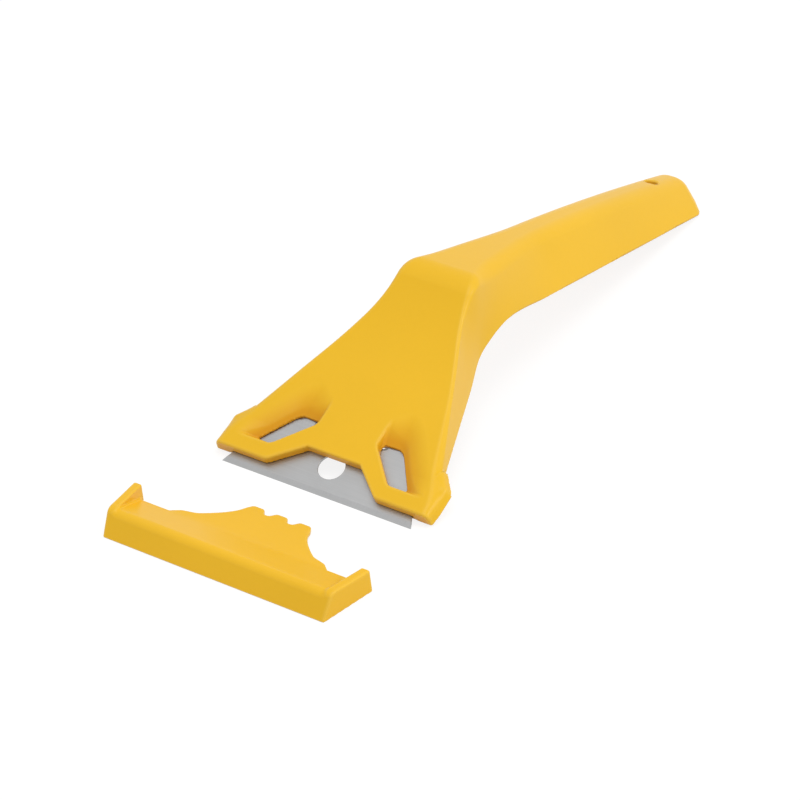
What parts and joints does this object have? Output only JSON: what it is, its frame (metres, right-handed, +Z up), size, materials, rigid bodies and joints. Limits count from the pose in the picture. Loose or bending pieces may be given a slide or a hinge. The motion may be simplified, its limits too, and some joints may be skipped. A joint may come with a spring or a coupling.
{
  "type": "blade scraper",
  "caption": "Hand scraper with a hollow moulded handle, a flared head that holds a slide-in trapezoid blade, and a loose blade cover with a toothed thumb tab.",
  "frame": {"origin": "on the table, under the middle of the whole part's length and width, with the cover lying in front of the blade", "axes": "+X along the cutting edge, +Y from the cover towards the handle's far end, +Z up"},
  "size_m": [0.074, 0.2442, 0.0387],
  "materials": {
    "moulding": "semi-gloss yellow moulded plastic",
    "steel": "ground steel",
    "cover_moulding": "semi-gloss yellow moulded plastic"
  },
  "bodies": {
    "handle": {"handle": "moulding"},
    "blade": {"blade": "steel"},
    "cover": {"cover": "cover_moulding"}
  },
  "joints": [
    {"name": "blade_slide", "type": "slide", "parent": "handle", "child": "blade", "axis": [0, -0.8988, -0.4384], "range_m": [0, 0.02]},
    {"name": "cover_swing", "type": "hinge", "parent": "blade", "child": "cover", "pos_m": [0, -0.09497, 0.04731], "axis": [1, 0, 0], "range_deg": [0, 45]}
  ]
}
